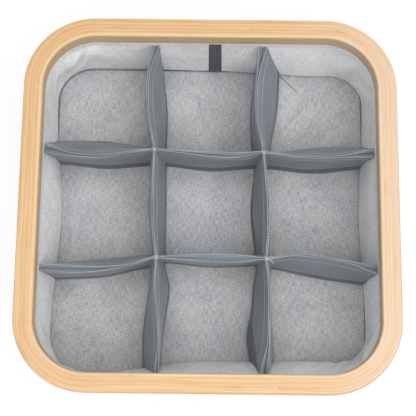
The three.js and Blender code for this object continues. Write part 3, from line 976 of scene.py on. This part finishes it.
def sew_strip(strip, section):
    """A hemmed strip of cloth, folded round its compartment. Where its top edge stands apart from the
    next strip's, the hidden hem leans over and closes half of the gap."""
    columns = []
    travelled = 0
    for index, run in enumerate(strip):
        steps = round(run_length(run) / RUN_FACET)
        columns += [(index, step / steps, travelled + step * RUN_FACET) for step in range(steps)]
        travelled += steps * RUN_FACET
    columns.append((len(strip) - 1, 1.0, travelled))
    flat = flat_way(section)
    bm = bmesh.new()
    across = len(section) - 1
    along = len(columns) - 1
    bmesh.ops.create_grid(bm, x_segments=along, y_segments=across, size=0.5)
    places = {}
    hem_shade_places = {}
    for vert in bm.verts:
        index, share, travel = columns[round((vert.co.x + 0.5) * along)]
        row = round((vert.co.y + 0.5) * across)
        outward, height = section[row]
        places[vert] = Vector((travel, flat[row]))
        hem_shade_places[vert] = Vector((travel, flat[row] - hem_shade_growth(strip[index], share)))
        if row > across - HEM_STEPS:
            opening = top_opening(strip[index], share)
            outward -= opening / 2
            height += TOP_HEM / HEM_STEPS - max(GAP_SAG * opening, LEAST_SAG)
        vert.co = strip_point(strip, index, share, height, outward)
    map_cloth(bm, places)
    map_cloth(bm, hem_shade_places, "hem")
    bends = [vert for vert in bm.verts if is_bend(vert, places, strip)]
    for _ in range(BEND_SMOOTHINGS):
        bmesh.ops.smooth_vert(bm, verts=bends, factor=0.5, use_axis_x=True, use_axis_y=True)
    if strip[0][0] in CROSSING:
        bmesh.ops.remove_doubles(bm, verts=bm.verts, dist=2 * WELD)
    bmesh.ops.recalc_face_normals(bm, faces=bm.faces)
    return bm, (flat[-1], travelled)


def is_bend(vert, places, strip):
    """Whether a point of a strip lies near the bend between two of its runs."""
    travelled = 0
    for run in strip[:-1]:
        travelled += round(run_length(run) / RUN_FACET) * RUN_FACET
        if abs(places[vert].x - travelled) < BEND_REACH:
            return True
    return False


section = hemmed_section()
fold_line = flat_way(section)[-1 - HEM_STEPS - FOLD_STEPS // 2]
hem_line = 2 * FOOT_HEM + math.pi * (STRIP_THICKNESS - LAYER) / 2
slate = slate_finish("slate_cloth", **SLATE)
for name, strip in STRIPS.items():
    cloth, flat_size = sew_strip(strip, section)
    piece = add_piece(f"strip_{name}", cloth, slate, "slate_cloth", f"divider_{name}")
    thicken(piece, LAYER, 0)

# Stitching
# A machine seam of grey thread holds each hem, and tacks hold the strips together at the crossings. Pale
# thread shows along one foot and where its ends were left long.
THREAD_GREY = (0.5, 0.51, 0.52, 1)
STITCH_LENGTH = 2.4 * MM
STITCH_PITCH = 3.4 * MM
STITCH_WIDTH = 0.55 * MM
STITCH_RISE = 0.08 * MM
SEAM_MARGIN = 3 * MM
TOP_SEAM_RISE = 2 * MM  # above the top hem's cut edge
TACKS = 6
TACK_TURN = 0.08 * math.pi
TACK_REACH = 1.9 * MM
TACK_WIDTH = 1.1 * MM
TACK_DEPTH = 1.2 * MM
TACK_PITCH = 0.3 * MM
FUZZ_SCALE = 4000.0
FUZZ_DEPTH = 0.1 * MM
THREAD_PALE = (0.78, 0.75, 0.68, 1)
FOOT_THREAD_RUN = 3  # the right side of the centre strip
FOOT_THREAD_STEPS = 40
FOOT_THREAD_WIDTH = 0.8 * MM
FOOT_THREAD_OFF = 0.7 * MM
FOOT_THREAD_HEIGHT = 0.5 * MM
TAIL_WIDTH = 0.35 * MM
LOOSE_TAILS = [  # thread ends left at the front right crossing, in millimetres from it
    [(1.5, -1, 0.2), (3, -1.6, 0.9), (4.6, -2.8, 0.9), (5.6, -4.6, 0.2)],
    [(1.8, 1, 0.2), (3.4, 1.4, 1.1), (5, 0.9, 1.3), (6.2, -0.2, 0.8)],
    [(2, -0.2, 0.1), (3.4, -0.4, 0.6), (4.4, -1.4, 0.8)],
]


def thread_finish(name, colour):
    material, start = new_finish(name)
    place = start.node("ShaderNodeTexCoord", {}, output="Object")
    fuzz = start.node("ShaderNodeTexNoise", {"Vector": place, "Scale": FUZZ_SCALE, "Detail": 2.0})
    shade = tuple(channel * 0.7 for channel in colour[:3]) + (1,)
    sockets = {
        "Base Color": blend_colour(ramp(fuzz, 0.3, 0.7), shade, colour),
        "Roughness": 0.7,
        "Normal": bump(fuzz, FUZZ_DEPTH),
    }
    close_finish(start, sockets)
    return material


def add_stitch(bm, start, end, width):
    """One stitch of thread, pulled into the cloth at both ends."""
    run = end - start
    side = run.cross(Vector((0, 0, 1))).normalized()
    axes = Matrix((run / 2, side * width / 2, side.cross(run).normalized() * width / 2)).transposed()
    place = Matrix.Translation((start + end) / 2) @ axes.to_4x4()
    bmesh.ops.create_icosphere(bm, subdivisions=1, radius=1, matrix=place)


def stitch_strip(bm, strip, height):
    """A row of stitches along a strip, on the face that its compartment sees."""
    face = STRIP_THICKNESS + STITCH_RISE
    for index, run in enumerate(strip):
        length = run_length(run)
        count = int((length - 2 * SEAM_MARGIN) / STITCH_PITCH)
        for stitch in range(count):
            middle = SEAM_MARGIN + (stitch + 0.5) * STITCH_PITCH
            ends = [(middle + way * STITCH_LENGTH / 2) / length for way in (-1, 1)]
            level = height
            if height == FOOT_HEM:
                level += hem_shade_growth(run, middle / length)
            add_stitch(bm, *(strip_point(strip, index, share, level, face) for share in ends), STITCH_WIDTH)


def add_thread(bm, points, width):
    """A length of loose thread through the points."""
    for start, end in zip(points, points[1:]):
        run = end - start
        turn = run.to_track_quat("Z", "X").to_matrix().to_4x4()
        place = Matrix.Translation((start + end) / 2) @ turn
        ends = {"radius1": width / 2, "radius2": width / 2, "depth": run.length + width / 2}
        bmesh.ops.create_cone(bm, cap_ends=True, segments=6, matrix=place, **ends)


def tack_crossing(bm, place):
    """Stitches that hold four strips together at the top of a crossing."""
    for tack in range(TACKS):
        way = Matrix.Rotation(TACK_TURN + math.pi * tack / TACKS, 2) @ Vector((TACK_REACH, 0))
        level = strip_top - TACK_DEPTH + TACK_PITCH * tack
        ends = [Vector((*(place + way * share), level)) for share in (-1, 1)]
        add_stitch(bm, *ends, TACK_WIDTH)


stitches = bmesh.new()
for place in CROSSING.values():
    tack_crossing(stitches, place)
for strip in STRIPS.values():
    stitch_strip(stitches, strip, FOOT_HEM)
    stitch_strip(stitches, strip, strip_height - TOP_HEM + TOP_SEAM_RISE)
grey_thread = thread_finish("grey_thread", THREAD_GREY)
add_piece("hem_stitching", stitches, grey_thread, "slate_cloth")

tails = bmesh.new()
foot = STRIP_THICKNESS + FOOT_THREAD_OFF
edge = [
    strip_point(STRIPS["centre"], FOOT_THREAD_RUN, step / FOOT_THREAD_STEPS, FOOT_THREAD_HEIGHT, foot)
    for step in range(3, FOOT_THREAD_STEPS - 2)
]
add_thread(tails, edge, FOOT_THREAD_WIDTH)
corner = Vector((*CROSSING["front_right"], strip_top))
for tail in LOOSE_TAILS:
    add_thread(tails, [corner + Vector(step) * MM for step in tail], TAIL_WIDTH)
pale_thread = thread_finish("pale_thread", THREAD_PALE)
add_piece("thread_tails", tails, pale_thread, "slate_cloth")

# Studio
# A pale floor runs out of view, a wide soft lamp hangs over the front right, and an even grey sky fills in.
# The camera looks down from above the front, and what it sees of floor and sky is nearly white.
FLOOR_SIZE = 6
FLOOR_GLOW = 0.85  # the rest of the floor keeps the shadow
PAPER = (0.9, 0.9, 0.9, 1)
WHITE = (1, 1, 1, 1)
SKY = 0.5
LAMP_SIZE = 2.4
LAMP_PLACE = (0.32, -0.38, 1.7)
LAMP_POWER = 42
CAMERA_PLACE = (0.26 * MM, -165.3 * MM, 895.3 * MM)
CAMERA_TURN = (0.0062, 0.1939, 0.0053)  # about Z, then X, then Z again
CAMERA_LENS = 84.97
CAMERA_SENSOR = 36

floor = bmesh.new()
bmesh.ops.create_grid(floor, x_segments=1, y_segments=1, size=FLOOR_SIZE)
floor_mesh = bpy.data.meshes.new("floor")
floor.to_mesh(floor_mesh)
floor.free()
floor_piece = bpy.data.objects.new("floor", floor_mesh)
bpy.context.scene.collection.objects.link(floor_piece)


def seen(start):
    """1 for rays from the camera, and for what shines or shows through."""
    direct, glossy, through = (
        start.node("ShaderNodeLightPath", {}, output=f"Is {kind} Ray")
        for kind in ("Camera", "Glossy", "Transmission")
    )
    return start.math("MAXIMUM", start.math("MAXIMUM", direct, glossy), through)


floor_finish, start = new_finish("white_floor")
paper = start.node("ShaderNodeBsdfDiffuse", {"Color": PAPER})
glow = start.node("ShaderNodeEmission", {"Color": WHITE, "Strength": 1.0})
lit = start.node("ShaderNodeMixShader", {0: seen(start) * FLOOR_GLOW, 1: paper, 2: glow})
start.node("ShaderNodeOutputMaterial", {"Surface": lit})
floor_mesh.materials.append(floor_finish)

world = bpy.data.worlds.new("studio_sky")
bpy.context.scene.world = world
world.use_nodes = True
world.node_tree.nodes.clear()
start = Wire(world.node_tree)
strength = SKY + seen(start) * (1 - SKY)
sky = start.node("ShaderNodeBackground", {"Color": WHITE, "Strength": strength})
start.node("ShaderNodeOutputWorld", {"Surface": sky})

lamp_data = bpy.data.lights.new("soft_lamp", "AREA")
lamp_data.shape = "DISK"
lamp_data.size = LAMP_SIZE
lamp_data.energy = LAMP_POWER
lamp = bpy.data.objects.new("soft_lamp", lamp_data)
lamp.location = LAMP_PLACE
lamp.rotation_mode = "QUATERNION"
lamp.rotation_quaternion = (-Vector(LAMP_PLACE)).to_track_quat("-Z", "Y")
bpy.context.scene.collection.objects.link(lamp)

camera_data = bpy.data.cameras.new("camera")
camera_data.lens = CAMERA_LENS
camera_data.sensor_width = CAMERA_SENSOR
camera = bpy.data.objects.new("camera", camera_data)
first, tilt, last = CAMERA_TURN
turn = Matrix.Rotation(first, 4, "Z") @ Matrix.Rotation(tilt, 4, "X") @ Matrix.Rotation(last, 4, "Z")
camera.matrix_world = Matrix.Translation(CAMERA_PLACE) @ turn
bpy.context.scene.collection.objects.link(camera)
bpy.context.scene.camera = camera
bpy.context.scene.view_settings.view_transform = "Standard"
